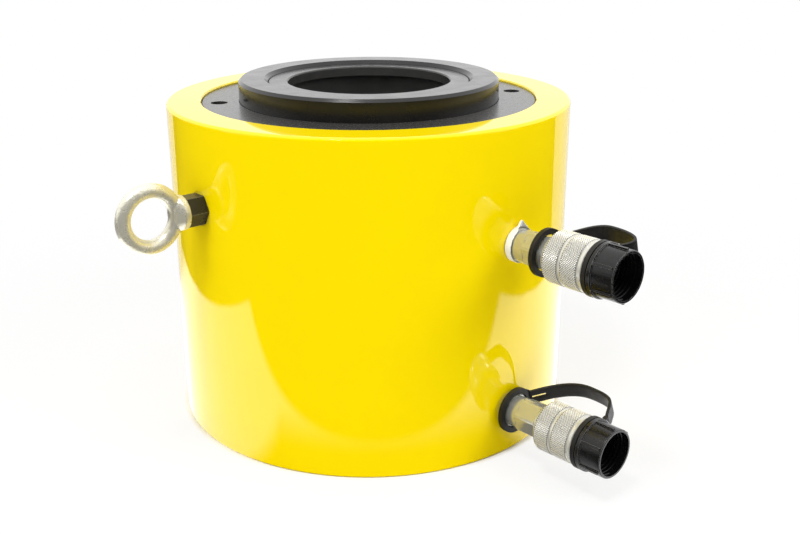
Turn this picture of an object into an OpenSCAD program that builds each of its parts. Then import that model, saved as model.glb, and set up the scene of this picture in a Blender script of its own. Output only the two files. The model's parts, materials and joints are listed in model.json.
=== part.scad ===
// Hollow plunger hydraulic cylinder, double acting, with two capped screw couplers.
// Origin: centre of the base, on the axis of the centre hole. +Z points out of the plunger.
// Millimetres throughout.

/* [Barrel] */
// Width of the oil space between the plunger and the bore
annulus_w = 19.5; // [17:0.5:26]
// Barrel wall round the bore
wall_t = 25.5; // [23:0.5:32]
// Thickness of the closed base
base_t = 22; // [18:1:28]
// Rounding of the barrel's outer edges
edge_r = 2; // [1:0.25:4]
// Chamfer at the mouth of the barrel
mouth_chamfer = 0.8; // [0.3:0.1:1.5]

/* [Plunger] */
// Working stroke
stroke = 50; // [30:1:80]
// Diameter of the plunger rod
rod_d = 165; // [158:1:172]
// Height of the piston head
piston_h = 55.8; // [52:0.2:70]
// How far the retracted plunger stands above the barrel
rod_lift = 12; // [6:0.5:24]
// Chamfer on the plunger's outer top edge
rod_chamfer = 1.8; // [0.5:0.1:3]
// Oil gallery round the foot of the piston, height
foot_h = 12.4; // [10:0.2:16]
// Oil gallery round the foot of the piston, width
foot_w = 6; // [4:0.5:8]

/* [Centre tube] */
// Centre hole right through the cylinder
hole_d = 102; // [92:1:106]
// Wall of the centre tube
tube_wall = 10; // [8:0.5:11]
// Space left between the top of the tube and the saddle
tube_gap = 1.7; // [1:0.1:4]

/* [Saddle] */
// How much wider than the tube the saddle's thread is, on the radius
saddle_step = 3; // [2.5:0.1:4]
// Depth of the saddle's face below the plunger's face
saddle_sink = 2.3; // [1:0.1:4]
// Length of the saddle's thread
saddle_l = 20; // [14:0.5:26]
// Thickness of the saddle's lip round the hole
saddle_lip = 6; // [4:0.5:9]
// Wall of the saddle's threaded skirt
saddle_wall = 6; // [4:0.5:7]
// How much wider than the centre hole the saddle's hole is, on the radius
saddle_ease = 0.5; // [0.2:0.1:1.5]

/* [Gland nut] */
// Length of the gland nut
gland_l = 74.7; // [72:0.1:90]
// Depth of the gland nut's face below the barrel's rim
gland_recess = 1.5; // [0.5:0.1:4]
// How much larger than the bore the gland thread is, on the radius
thread_step = 4; // [3:0.5:6]
// Oil gallery round the lower end of the gland nut, height
gallery_h = 13; // [11:0.5:18]
// Oil gallery round the lower end of the gland nut, width
gallery_w = 8; // [6:0.5:10]
// Height of the plain pilot under the gland thread
pilot_h = 11; // [9:0.5:16]
// Diameter of the pin spanner holes
spanner_d = 10.5; // [6:0.5:12]
// Depth of the pin spanner holes
spanner_l = 12; // [6:1:18]
// Distance of the spanner holes from the nut's rim
spanner_edge = 11; // [8:0.5:13]
// Direction of the first spanner hole
spanner_azimuth = 10; // [0:1:179]

/* [Seals] */
// Width of the grooved seals, along the axis
seal_h = 10; // [7:0.5:11]
// Depth of the seal grooves
seal_w = 6; // [4:0.5:7]
// Width of the wear rings and of the inner guide, along the axis
wear_h = 10; // [7:0.5:11]
// Depth of the wear ring grooves
wear_w = 3; // [2:0.25:4]
// Height of the wiper's seat
wiper_h = 8; // [5:0.5:10]
// Radial width of the wiper's seat
wiper_w = 5; // [4:0.5:7]
// Thickness of nut left over the wiper
wiper_cover = 2.2; // [1.5:0.1:4]
// Length of the guide bush in the gland nut
bush_l = 24; // [16:1:26]
// Section of the static sealing rings
cord_d = 4; // [3:0.25:5]

/* [Ports and couplers] */
// Direction of both ports, turned from +X towards -Y
port_azimuth = 48.7; // [20:0.1:80]
// Diameter of the port thread
port_d = 20; // [17:0.5:20]
// Barrel wall left under the port thread
port_web = 11; // [8:0.5:14]
// Diameter of the oil passages
oil_d = 6; // [4:0.5:8]
// Length of taped thread that shows between the barrel and the coupler
taped_l = 4.5; // [3:0.25:6]
// Thickness of the sealing tape on the thread
tape_t = 0.5; // [0.2:0.1:0.6]
// Diameter of the nipple's front thread
stub_d = 13; // [11:0.5:14]
// Length of the nipple's front thread
stub_l = 9; // [7:0.5:11]
// Diameter of the boss at the rear of the coupler body
boss_d = 19.4; // [18:0.2:20]
// Length of the boss at the rear of the coupler body
boss_l = 6.5; // [5:0.5:8]
// Across flats of the coupler body's hexagon
hex_af = 18.8; // [18:0.2:20]
// Diameter that the hexagon's corners are turned to
hex_d = 20.8; // [20:0.2:21]
// Length of the coupler body from the boss to the collar
hex_l = 17.7; // [15:0.1:20]
// Diameter of the front barrel inside the collar
barrel_d = 22; // [21.5:0.1:22.6]
// Length of the front barrel
barrel_l = 16; // [15:0.2:16.6]
// Outside of the knurled collar
collar_d = 30; // [29.5:0.25:34]
// Length of the knurled collar
collar_l = 28.4; // [26.4:0.2:34]
// Length of the collar's rear lip
collar_lip = 4.8; // [4:0.2:6]
// Wall round the collar's thread
collar_wall = 2.5; // [2:0.1:2.7]
// Opening travel of the valve poppet
valve_travel = 3.5; // [2:0.5:4]
// Diameter of the valve chamber
chamber_d = 13; // [12:0.5:14]
// Wire of the valve spring
spring_wire = 1.2; // [0.8:0.1:1.4]
// Coils of the valve spring
spring_turns = 6; // [3:1:7]

/* [Dust caps and straps] */
// Length of the cap's thread inside the collar
cap_thread_l = 9.6; // [8:0.2:10]
// Diameter of the cap's flange
flange_d = 32; // [31.5:0.5:37]
// Thickness of the cap's flange
flange_t = 3; // [2:0.2:4]
// Outside of the cap's tube at the flange
cap_d = 30; // [28:0.5:31]
// Outside of the cap's tube at the open end
cap_end_d = 29.4; // [27:0.1:30]
// Wall of the cap's tube at the open end
cap_wall = 1.5; // [1:0.1:2]
// Length of the cap's tube
cap_l = 13.4; // [12:0.2:24]
// Floor between the cap's thread and its tube
cap_floor = 3.5; // [2.5:0.5:5]
// Number of grip ribs on the cap
cap_ribs = 6; // [4:1:12]
// Height of the cap's grip ribs
cap_rib_h = 0.9; // [0.4:0.1:1.2]
// Width of the cap's grip ribs
cap_rib_w = 1.6; // [1:0.1:2.4]
// Length of tube left plain in front of the ribs
cap_plain_l = 1.6; // [0.8:0.2:4]
// Thickness of the strap's end rings
ring_t = 2.8; // [2.2:0.1:4]
// Radial width of the strap's neck ring
ring_w = 3.4; // [2.6:0.1:5]
// Width of the strap
strap_w = 10; // [7:0.5:12]
// Thickness of the strap
strap_t = 1.8; // [1.2:0.1:2]
// Place of the upper strap's neck ring, from the barrel
upper_ring_place = 20.5; // [1:0.5:21]
// Place of the lower strap's neck ring, from the barrel
lower_ring_place = 2.5; // [1:0.1:12]
// Turn of the upper strap, from level towards the top
upper_strap_turn = 17; // [0:0.2:80]
// Turn of the lower strap, from level towards the top
lower_strap_turn = 21.6; // [0:0.2:80]
// How far the upper strap's arch stands out from the coupler's axis
upper_strap_rise = 32.2; // [29:0.1:38]
// How far the lower strap's arch stands out from the coupler's axis
lower_strap_rise = 33.8; // [29:0.1:38]
// Distance of the upper arch's crest behind the cap's ring
upper_strap_crest = 15; // [8:0.5:20]
// Distance of the lower arch's crest behind the cap's ring
lower_strap_crest = 23; // [12:0.1:34]
// Pull of the upper strap's curl past the cap's ring
upper_strap_curl = 12; // [-8:0.5:22]
// Pull of the lower strap's curl past the cap's ring
lower_strap_curl = -6; // [-8:0.5:22]
// Length of the slot near the strap's neck ring
slot_l = 6; // [3:0.5:7]
// Width of the slot near the strap's neck ring
slot_w = 2.2; // [1.2:0.1:3]

/* [Lifting eye] */
// Direction of the eye bolt, turned from +X towards -Y
eye_azimuth = 141; // [110:1:170]
// Distance of the eye bolt below the barrel's rim
eye_drop = 51.1; // [30:0.1:52]
// Middle line radius of the eye
eye_r = 16.4; // [14:0.2:20]
// Section of the eye
eye_wire = 8.8; // [7:0.2:10]
// Length of neck between the lock nut and the eye
eye_neck_l = 0.6; // [0.4:0.1:6]
// Shoulder diameter of the eye bolt
eye_shoulder_d = 20; // [16:0.5:22]
// Thread of the eye bolt
eye_thread_d = 10; // [8:0.5:12]
// Barrel wall left under the eye bolt's thread
eye_web = 6.5; // [5:0.5:8]
// Across flats of the lock nut
eye_nut_af = 17; // [16:0.5:19]
// Thickness of the lock nut
eye_nut_t = 11.5; // [8:0.5:14]
// Depth of the flat faced under the lock nut
eye_spot = 0.5; // [0.4:0.1:1]

/* [Clearances] */
// Running fit of seals, wear rings and guide, on the radius
run_gap = 0.05; // [0.02:0.01:0.1]
// Free clearance between moving pieces
free_gap = 0.3; // [0.2:0.05:0.5]
// Clearance of threads and seats between fixed pieces, on the radius
seat_gap = 0.1; // [0.05:0.01:0.2]

/* [Hidden] */
$fn = 96;
rod_r = rod_d / 2;
bore_r = rod_r + annulus_w;
body_r = bore_r + wall_t;
hole_r = hole_d / 2;
tube_r = hole_r + tube_wall;
gland_r = bore_r + thread_step;
piston_r = bore_r - free_gap;
// Heights, from the base up
piston_top = base_t + piston_h;
gland_z = piston_top + stroke;
seat_z = gland_z + gallery_h + pilot_h;
gland_top = gland_z + gland_l;
body_h = gland_top + gland_recess;
rod_top = body_h + rod_lift;
saddle_r = tube_r + saddle_step;
saddle_top = rod_top - saddle_sink;
saddle_z = saddle_top - saddle_l;
tube_top = saddle_z - tube_gap;
relief_r = saddle_r - saddle_step / 2;
advance_z = base_t + foot_h / 2;
retract_z = gland_z + gallery_h / 2;
// Grooves of the piston, above its foot
land_h = (piston_h - foot_h - wear_h - seal_h) / 3;
piston_wear_z = base_t + foot_h + land_h;
piston_seal_z = piston_wear_z + wear_h + land_h;
// Grooves of the gland nut
bush_z = gland_z + gallery_h;
wiper_end = gland_top - wiper_cover;
wiper_z = wiper_end - wiper_h;
rod_seal_z = (bush_z + bush_l + wiper_z - seal_h) / 2;
cord_groove_h = 1.3 * cord_d;
pilot_ring_z = gland_z + gallery_h + pilot_h / 2;
tube_ring_z = base_t / 2;
spanner_r = gland_r - spanner_edge;
// Couplers, measured outwards from the barrel's surface
port_l = wall_t - port_web;
boss_r = boss_d / 2;
boss_end = taped_l + boss_l;
neck_end = boss_end + hex_l;
barrel_r = barrel_d / 2;
barrel_end = neck_end + barrel_l;
shoulder_r = barrel_r + 1;
collar_z = neck_end + free_gap;
collar_end = collar_z + collar_l;
collar_r = collar_d / 2;
socket_r = collar_r - collar_wall;
socket_z = collar_z + collar_lip;
snap_z = socket_z + free_gap;
snap_t = 1.4;
snap_depth = 1;
snap_r = socket_r - free_gap;
chamber_r = chamber_d / 2;
chamber_floor = 2;
chamber_z = taped_l + stub_l + chamber_floor;
seat_t = 4.5;
chamber_end = barrel_end - seat_t;
seat_hole_r = 4.2;
poppet_r = chamber_r - free_gap;
poppet_nose_r = seat_hole_r - free_gap;
poppet_head_l = 4;
poppet_cone_l = 3;
poppet_stem_r = oil_d / 2 + 0.8;
poppet_z = chamber_end - free_gap - poppet_cone_l - poppet_head_l;
spring_r = poppet_r - free_gap - spring_wire / 2;
nose_ring_d = 1.9;
nose_ring_z = barrel_end - 2.25;
// Dust caps and straps, measured outwards from the barrel's surface
cap_thread_r = socket_r - free_gap;
cap_z = collar_end - cap_thread_l;
cap_neck_r = cap_thread_r + 0.8;
ring_gap = 2 * free_gap;
cap_ring_z = collar_end + ring_gap;
flange_z = cap_ring_z + ring_t + free_gap;
flange_r = flange_d / 2;
tube_z = flange_z + flange_t;
cap_end = tube_z + cap_l;
cap_bore_r = cap_end_d / 2 - cap_wall;
cap_floor_z = flange_z + flange_t / 2;
neck_ring_r = max(hex_d / 2, port_d / 2 + tape_t) + free_gap;
neck_ring_out = neck_ring_r + ring_w;
tab_l = 2.5;
// Lifting eye, measured outwards from the faced flat
eye_z = body_h - eye_drop;
eye_face = body_r - eye_spot;
eye_wall = wall_t - thread_step - eye_spot;
eye_thread_l = eye_wall - eye_web;
eye_centre = eye_nut_t + eye_neck_l + eye_r + eye_wire / 2;
eye_spot_d = eye_nut_af / cos(30) + 1;
paint_yellow = [0.98, 0.86, 0.02];
black_steel = [0.16, 0.16, 0.17];
bright_steel = [0.78, 0.78, 0.76];
zinc_steel = [0.82, 0.81, 0.74];
bronze = [0.66, 0.5, 0.27];
seal_green = [0.16, 0.3, 0.24];
black_rubber = [0.1, 0.1, 0.1];
black_plastic = [0.13, 0.13, 0.13];
tape_white = [0.95, 0.95, 0.93];

// Points of an arc in the profile plane
function arc(centre, radius, from, to, steps = 6) = [
    for (i = [0 : steps])
        centre + radius * [cos(from + (to - from) * i / steps), sin(from + (to - from) * i / steps)]
];

// Point of a cubic curve through four control points
function curve_point(p, t) =
    pow(1 - t, 3) * p[0] + 3 * pow(1 - t, 2) * t * p[1] + 3 * (1 - t) * t * t * p[2] + pow(t, 3) * p[3];

// Direction of a cubic curve
function curve_way(p, t) =
    pow(1 - t, 2) * (p[1] - p[0]) + 2 * (1 - t) * t * (p[2] - p[1]) + t * t * (p[3] - p[2]);

// Side direction of a cubic curve, of unit length
function curve_side(p, t) = let (way = curve_way(p, t)) [-way[1], way[0]] / norm(way);

// Point on one face of the strap, at a place along one of its curves
function strap_side(line, t, face) = curve_point(line, t) + face * strap_t / 2 * curve_side(line, t);

// Plain ring about Z
module ring(inner_r, outer_r, low, high) {
    rotate_extrude()
        polygon([[inner_r, low], [outer_r, low], [outer_r, high], [inner_r, high]]);
}

// Ring of round section about Z
module cord_ring(middle_r, section_d, height) {
    rotate_extrude()
        translate([middle_r, height])
            circle(d = section_d, $fn = 32);
}

// Lipped seal about Z: a groove in the pressure end leaves two lips
module lip_seal(inner_r, outer_r, low, high, lips_up) {
    notch = (outer_r - inner_r) / 4;
    middle = (outer_r + inner_r) / 2;
    deep = (high - low) * 0.45;
    difference() {
        ring(inner_r, outer_r, low, high);
        rotate_extrude()
            if (lips_up)
                polygon([[middle - notch, high + 1], [middle, high - deep], [middle + notch, high + 1]]);
            else
                polygon([[middle - notch, low - 1], [middle, low + deep], [middle + notch, low - 1]]);
    }
}

// Hexagonal prism along Z with turned corners
module hexagon(af, low, high) {
    corner_r = af / cos(30) / 2;
    bevel = corner_r - af / 2;
    intersection() {
        translate([0, 0, low])
            rotate(30)
                cylinder(r = corner_r, h = high - low, $fn = 6);
        rotate_extrude()
            polygon([
                [0, low], [corner_r - bevel / 2, low], [corner_r + 0.1, low + bevel / 3],
                [corner_r + 0.1, high - bevel / 3], [corner_r - bevel / 2, high], [0, high]
            ]);
    }
}

// Puts a piece drawn along Z on a port's axis, with Z pointing out of the barrel
module on_port(height) {
    rotate(-port_azimuth)
        translate([body_r, 0, height])
            rotate([0, 90, 0])
                children();
}

// Puts a piece drawn along Z on the eye bolt's axis
module on_eye() {
    rotate(-eye_azimuth)
        translate([eye_face, 0, eye_z])
            rotate([0, 90, 0])
                children();
}

// Port: thread and oil passage
module port_cut() {
    translate([0, 0, -port_l])
        cylinder(r = port_d / 2 + seat_gap, h = port_l + edge_r);
    translate([0, 0, -wall_t - 1])
        cylinder(d = oil_d, h = wall_t);
}

// Hole and faced flat of the eye bolt
module eye_cut() {
    cylinder(d = eye_spot_d, h = 4 * eye_spot);
    translate([0, 0, -eye_thread_l - seat_gap])
        cylinder(r = eye_thread_d / 2 + seat_gap, h = eye_thread_l + 1);
}

module cylinder_body() {
    mouth_r = gland_r + seat_gap;
    base_hole_r = tube_r + seat_gap;
    color(paint_yellow)
        difference() {
            rotate_extrude()
                polygon(concat(
                    [[base_hole_r, 0]],
                    arc([body_r - edge_r / 2, edge_r / 2], edge_r / 2, -90, 0),
                    arc([body_r - edge_r, body_h - edge_r], edge_r, 0, 90),
                    [
                        [mouth_r + mouth_chamfer, body_h], [mouth_r, body_h - mouth_chamfer],
                        [mouth_r, seat_z], [bore_r, seat_z], [bore_r, base_t], [base_hole_r, base_t]
                    ]
                ));
            on_port(retract_z)
                port_cut();
            on_port(advance_z)
                port_cut();
            on_eye()
                eye_cut();
        }
}

module center_tube() {
    bevel = tube_wall / 8;
    color(bright_steel)
        difference() {
            rotate_extrude()
                polygon([
                    [hole_r, 0], [tube_r, 0], [tube_r, tube_top - bevel], [tube_r - bevel, tube_top],
                    [hole_r, tube_top]
                ]);
            translate([0, 0, tube_ring_z - cord_groove_h / 2])
                ring(tube_r - cord_d - seat_gap, tube_r + 1, 0, cord_groove_h);
        }
}

module tube_seal() {
    color(black_rubber)
        cord_ring(tube_r - cord_d / 2, cord_d, tube_ring_z);
}

module gland_nut() {
    inner_r = rod_r + free_gap;
    bevel = mouth_chamfer;
    color(black_steel)
        difference() {
            rotate_extrude()
                polygon([
                    [inner_r, gland_z], [bore_r - gallery_w, gland_z], [bore_r - gallery_w, bush_z],
                    [bore_r - seat_gap, bush_z], [bore_r - seat_gap, seat_z], [gland_r, seat_z],
                    [gland_r, gland_top - bevel], [gland_r - bevel, gland_top], [inner_r, gland_top]
                ]);
            ring(rod_r, rod_r + wear_w + seat_gap, bush_z, bush_z + bush_l);
            ring(rod_r, rod_r + seal_w + seat_gap, rod_seal_z, rod_seal_z + seal_h + seat_gap);
            ring(rod_r, rod_r + wiper_w + seat_gap, wiper_z, wiper_end);
            translate([0, 0, pilot_ring_z - cord_groove_h / 2])
                ring(bore_r - cord_d - seat_gap, bore_r + 1, 0, cord_groove_h);
            for (side = [0, 180])
                rotate(spanner_azimuth + side)
                    translate([spanner_r, 0, gland_top - spanner_l])
                        cylinder(d = spanner_d, h = spanner_l + 1);
        }
}

module guide_bush() {
    color(bronze)
        ring(rod_r + run_gap, rod_r + wear_w, bush_z, bush_z + bush_l);
}

module rod_seal() {
    color(seal_green)
        lip_seal(rod_r + run_gap, rod_r + seal_w, rod_seal_z, rod_seal_z + seal_h, false);
}

module wiper_ring() {
    lip_top = wiper_end - seat_gap;
    heel_top = lip_top - wiper_h * 0.35;
    color(black_rubber)
        rotate_extrude()
            polygon([
                [rod_r + run_gap, wiper_z + wiper_h / 2], [rod_r + wiper_w * 0.35, wiper_z],
                [rod_r + wiper_w, wiper_z], [rod_r + wiper_w, heel_top],
                [rod_r + wiper_w * 0.6, heel_top], [rod_r + wiper_w * 0.35, lip_top],
                [rod_r + run_gap, lip_top]
            ]);
}

module gland_seal() {
    color(black_rubber)
        cord_ring(bore_r - seat_gap - cord_d / 2, cord_d - seat_gap, pilot_ring_z);
}

module plunger() {
    color(black_steel)
        difference() {
            rotate_extrude()
                polygon([
                    [tube_r + free_gap, base_t], [bore_r - foot_w, base_t],
                    [bore_r - foot_w, base_t + foot_h], [piston_r, base_t + foot_h],
                    [piston_r, piston_top], [rod_r, piston_top],
                    [rod_r, rod_top - rod_chamfer], [rod_r - rod_chamfer, rod_top],
                    [saddle_r + seat_gap + saddle_sink, rod_top], [saddle_r + seat_gap, saddle_top],
                    [saddle_r + seat_gap, saddle_z], [relief_r, saddle_z], [relief_r, piston_top],
                    [tube_r + free_gap, piston_top]
                ]);
            ring(bore_r - wear_w - seat_gap, bore_r, piston_wear_z, piston_wear_z + wear_h);
            ring(bore_r - seal_w - seat_gap, bore_r, piston_seal_z, piston_seal_z + seal_h + seat_gap);
            ring(tube_r, tube_r + wear_w + seat_gap, piston_wear_z, piston_wear_z + wear_h);
            ring(tube_r, tube_r + seal_w + seat_gap, piston_seal_z, piston_seal_z + seal_h + seat_gap);
        }
}

module piston_seal() {
    color(seal_green)
        lip_seal(bore_r - seal_w, bore_r - run_gap, piston_seal_z, piston_seal_z + seal_h, false);
}

module piston_wear_ring() {
    color(bronze)
        ring(bore_r - wear_w, bore_r - run_gap, piston_wear_z, piston_wear_z + wear_h);
}

module inner_seal() {
    color(seal_green)
        lip_seal(tube_r + run_gap, tube_r + seal_w, piston_seal_z, piston_seal_z + seal_h, false);
}

module inner_wear_ring() {
    color(bronze)
        ring(tube_r + run_gap, tube_r + wear_w, piston_wear_z, piston_wear_z + wear_h);
}

module saddle() {
    lip_r = hole_r + saddle_ease;
    bevel = saddle_lip / 8;
    color(black_steel)
        rotate_extrude()
            polygon([
                [saddle_r - saddle_wall, saddle_z], [saddle_r, saddle_z], [saddle_r, saddle_top - bevel],
                [saddle_r - bevel, saddle_top], [lip_r + bevel, saddle_top], [lip_r, saddle_top - bevel],
                [lip_r, saddle_top - saddle_lip], [saddle_r - saddle_wall, saddle_top - saddle_lip]
            ]);
}

module eye_bolt() {
    shoulder_z = eye_nut_t + seat_gap;
    shoulder_l = eye_wire * 0.75;
    color(zinc_steel)
        on_eye() {
            translate([0, 0, -eye_thread_l])
                cylinder(d = eye_thread_d, h = eye_thread_l + shoulder_z + 1);
            translate([0, 0, shoulder_z])
                cylinder(d1 = eye_shoulder_d, d2 = eye_shoulder_d * 0.8, h = shoulder_l);
            translate([0, 0, eye_centre])
                rotate([90, 0, 90])
                    rotate([0, 90, 0])
                        rotate_extrude()
                            translate([eye_r, 0])
                                circle(d = eye_wire, $fn = 32);
        }
}

module eye_lock_nut() {
    color(black_steel)
        on_eye()
            difference() {
                hexagon(eye_nut_af, 0, eye_nut_t);
                translate([0, 0, -1])
                    cylinder(r = eye_thread_d / 2 + seat_gap, h = eye_nut_t + 2);
            }
}

// Nipple between port and coupler: rear thread, front thread and oil hole
module port_nipple() {
    difference() {
        union() {
            translate([0, 0, -port_l])
                cylinder(d = port_d, h = port_l + taped_l);
            translate([0, 0, taped_l - 1])
                cylinder(d = stub_d, h = stub_l + 1);
        }
        translate([0, 0, -port_l - 1])
            cylinder(d = oil_d, h = port_l + taped_l + stub_l + 2);
    }
}

// Sealing tape wound on the thread that shows
module thread_tape() {
    ring(port_d / 2 + run_gap, port_d / 2 + tape_t, run_gap, taped_l - run_gap);
}

// Coupler body: boss, hexagon, front barrel, valve chamber and seat
module coupler_body() {
    bevel = 0.6;
    hex_end = neck_end - 2.5;
    difference() {
        union() {
            rotate_extrude()
                polygon([
                    [0, taped_l], [boss_r - bevel, taped_l], [boss_r, taped_l + bevel],
                    [boss_r, boss_end + 1], [0, boss_end + 1]
                ]);
            intersection() {
                translate([0, 0, boss_end])
                    rotate(15)
                        cylinder(d = hex_af / cos(30), h = hex_end - boss_end, $fn = 6);
                rotate_extrude()
                    polygon([
                        [0, boss_end], [hex_d / 2 - bevel, boss_end], [hex_d / 2, boss_end + bevel],
                        [hex_d / 2, hex_end], [0, hex_end]
                    ]);
            }
            rotate_extrude()
                polygon([
                    [0, hex_end - 1], [boss_r - bevel, hex_end - 1], [boss_r - bevel, hex_end],
                    [shoulder_r, neck_end - 1], [shoulder_r, neck_end], [barrel_r, neck_end],
                    [barrel_r, barrel_end - bevel], [barrel_r - bevel, barrel_end], [0, barrel_end]
                ]);
        }
        translate([0, 0, taped_l - 1])
            cylinder(r = stub_d / 2 + seat_gap, h = stub_l + 1 + seat_gap);
        translate([0, 0, taped_l])
            cylinder(d = oil_d, h = chamber_z - taped_l + 1);
        translate([0, 0, chamber_z])
            cylinder(r = chamber_r, h = chamber_end - chamber_z);
        translate([0, 0, chamber_end - 1])
            cylinder(r = seat_hole_r, h = seat_t + 2);
        ring(barrel_r - snap_depth - seat_gap, barrel_r + 1, snap_z - seat_gap, snap_z + snap_t + seat_gap);
        ring(
            barrel_r - nose_ring_d - seat_gap, barrel_r + 1,
            nose_ring_z - nose_ring_d * 0.65, nose_ring_z + nose_ring_d * 0.65
        );
    }
}

// Knurled collar that turns freely on the coupler body
module collar() {
    bevel = 0.8;
    waist = 0.5;
    lip_l = 2.4;
    lip_z = collar_end - lip_l;
    waist_z = (collar_z + lip_z) / 2;
    rotate_extrude()
        polygon([
            [barrel_r + free_gap, collar_z], [collar_r - 2 * bevel, collar_z],
            [collar_r, collar_z + 2 * bevel], [collar_r, waist_z - 1],
            [collar_r - waist, waist_z - 0.6], [collar_r - waist, waist_z + 0.6],
            [collar_r, waist_z + 1], [collar_r, lip_z - 1], [collar_r - waist, lip_z - 0.6],
            [collar_r - waist, lip_z], [collar_r - 0.2, lip_z + 0.3], [collar_r - 0.2, collar_end - bevel],
            [collar_r - bevel, collar_end], [socket_r + 0.4, collar_end], [socket_r, collar_end - 0.4],
            [socket_r, socket_z], [barrel_r + free_gap, socket_z]
        ]);
}

// Split wire ring that keeps the collar on
module snap_ring() {
    mouth = 3;
    difference() {
        ring(barrel_r - snap_depth, snap_r, snap_z, snap_z + snap_t);
        translate([0, -mouth / 2, snap_z - 1])
            cube([socket_r, mouth, snap_t + 2]);
    }
}

// Valve poppet, closed against its seat; its slotted stem stops the opening travel
module poppet() {
    stem_end = chamber_z + valve_travel + free_gap;
    nose_end = barrel_end - 0.5;
    slot = 1.5;
    difference() {
        rotate_extrude()
            polygon([
                [0, stem_end], [poppet_stem_r, stem_end], [poppet_stem_r, poppet_z],
                [poppet_r, poppet_z], [poppet_r, poppet_z + poppet_head_l],
                [poppet_nose_r, poppet_z + poppet_head_l + poppet_cone_l],
                [poppet_nose_r, nose_end], [0, nose_end]
            ]);
        translate([-poppet_r, -slot / 2, stem_end - slot])
            cube([2 * poppet_r, slot, 2 * slot]);
    }
}

// Coil spring behind the poppet, swept along its helix
module spring() {
    low = chamber_z + seat_gap + spring_wire / 2;
    high = poppet_z - seat_gap - spring_wire / 2;
    steps = 20 * spring_turns;
    sides = 8;
    points = [
        for (i = [0 : steps])
            let (turn = 360 * spring_turns * i / steps, height = low + (high - low) * i / steps)
                for (k = [0 : sides - 1])
                    let (reach = spring_r + spring_wire / 2 * cos(360 * k / sides))
                        [
                            reach * cos(turn), reach * sin(turn),
                            height + spring_wire / 2 * sin(360 * k / sides)
                        ]
    ];
    walls = [
        for (i = [0 : steps - 1])
            for (k = [0 : sides - 1])
                let (next = (k + 1) % sides)
                    [i * sides + k, (i + 1) * sides + k, (i + 1) * sides + next, i * sides + next]
    ];
    start = [for (k = [0 : sides - 1]) k];
    finish = [for (k = [sides - 1 : -1 : 0]) steps * sides + k];
    polyhedron(points, concat(walls, [start, finish]));
}

// Sealing ring on the nose of the coupler body
module nose_seal() {
    cord_ring(barrel_r - nose_ring_d / 2, nose_ring_d, nose_ring_z);
}

// Dust cap: thread, ring seat, flange and open ribbed tube
module dust_cap() {
    rib_l = flange_t / 2 + cap_l - cap_plain_l;
    difference() {
        union() {
            rotate_extrude()
                polygon([
                    [0, cap_z], [cap_thread_r - 0.6, cap_z], [cap_thread_r, cap_z + 0.6],
                    [cap_thread_r, cap_ring_z - free_gap], [cap_neck_r, cap_ring_z - free_gap],
                    [cap_neck_r, flange_z], [flange_r - 0.5, flange_z], [flange_r, flange_z + 0.5],
                    [flange_r, tube_z - 0.5], [flange_r - 0.5, tube_z], [cap_d / 2, tube_z],
                    [cap_end_d / 2, cap_end - 0.4], [cap_end_d / 2 - 0.4, cap_end], [0, cap_end]
                ]);
            for (i = [0 : cap_ribs - 1])
                rotate(360 * i / cap_ribs)
                    translate([cap_bore_r, -cap_rib_w / 2, tube_z - flange_t / 2])
                        cube([cap_d / 2 + cap_rib_h - cap_bore_r, cap_rib_w, rib_l]);
        }
        translate([0, 0, cap_floor_z])
            cylinder(r = cap_bore_r, h = cap_end - cap_floor_z + 1);
        translate([0, 0, cap_z - 1])
            cylinder(r = cap_thread_r - cap_wall - 1, h = cap_floor_z - cap_floor - cap_z + 1);
    }
}

// Strap ring, its low face at the given height, with a flat tab along the strap's turn
module strap_ring(inner_r, outer_r, tab_end, low, turn) {
    rotate(90 + turn)
        difference() {
            union() {
                ring(inner_r, outer_r, low, low + ring_t);
                translate([0, -strap_w / 2, low])
                    cube([tab_end, strap_w, ring_t]);
            }
            translate([0, 0, low - 1])
                cylinder(r = inner_r, h = ring_t + 2);
        }
}

// Moulded strap: leans out of the neck ring, arches over the collar and curls back
// to the tab of the cap's ring, where a small gap lets the ring move
module strap_arch(neck_low, turn, rise, crest_back, pull) {
    root_z = neck_low + ring_t;
    root = [neck_ring_out - strap_t / 2, root_z];
    cap_mid = cap_ring_z + ring_t / 2;
    tab_end = flange_r + tab_l;
    crest = [rise, cap_mid - crest_back];
    lean = [rise, rise] * 0.15;
    climb = [root, root + lean, [rise, (root_z + crest[1]) / 2], crest];
    curl = [crest, crest + [0, 0.9 * crest_back], [rise - 4, cap_mid + pull], [tab_end, cap_mid]];
    steps = 16;
    foot = [strap_t, strap_t];
    outer = [
        strap_side(climb, 0, 1) - foot,
        for (i = [0 : steps]) strap_side(climb, i / steps, 1),
        for (i = [1 : steps]) strap_side(curl, i / steps, 1)
    ];
    inner = [
        for (i = [steps : -1 : 1]) strap_side(curl, i / steps, -1),
        for (i = [steps : -1 : 0]) strap_side(climb, i / steps, -1),
        strap_side(climb, 0, -1) - foot
    ];
    rotate(90 + turn)
        difference() {
            rotate([90, 0, 0])
                linear_extrude(strap_w, center = true)
                    difference() {
                        polygon(concat(outer, inner));
                        translate([0, root_z - 2 * rise])
                            square([rise, 2 * rise]);
                        translate([0, cap_ring_z - seat_gap])
                            square([tab_end + seat_gap, ring_t + 2 * seat_gap]);
                    }
            translate([0, -slot_w / 2, root_z + 1])
                cube([rise, slot_w, slot_l]);
        }
}

module retract_port_nipple() {
    color(zinc_steel)
        on_port(retract_z)
            port_nipple();
}

module retract_thread_tape() {
    color(tape_white)
        on_port(retract_z)
            thread_tape();
}

module retract_coupler_body() {
    color(zinc_steel)
        on_port(retract_z)
            coupler_body();
}

module retract_collar() {
    color(zinc_steel)
        on_port(retract_z)
            collar();
}

module retract_snap_ring() {
    color(bright_steel)
        on_port(retract_z)
            snap_ring();
}

module retract_valve_poppet() {
    color(bright_steel)
        on_port(retract_z)
            poppet();
}

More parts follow.
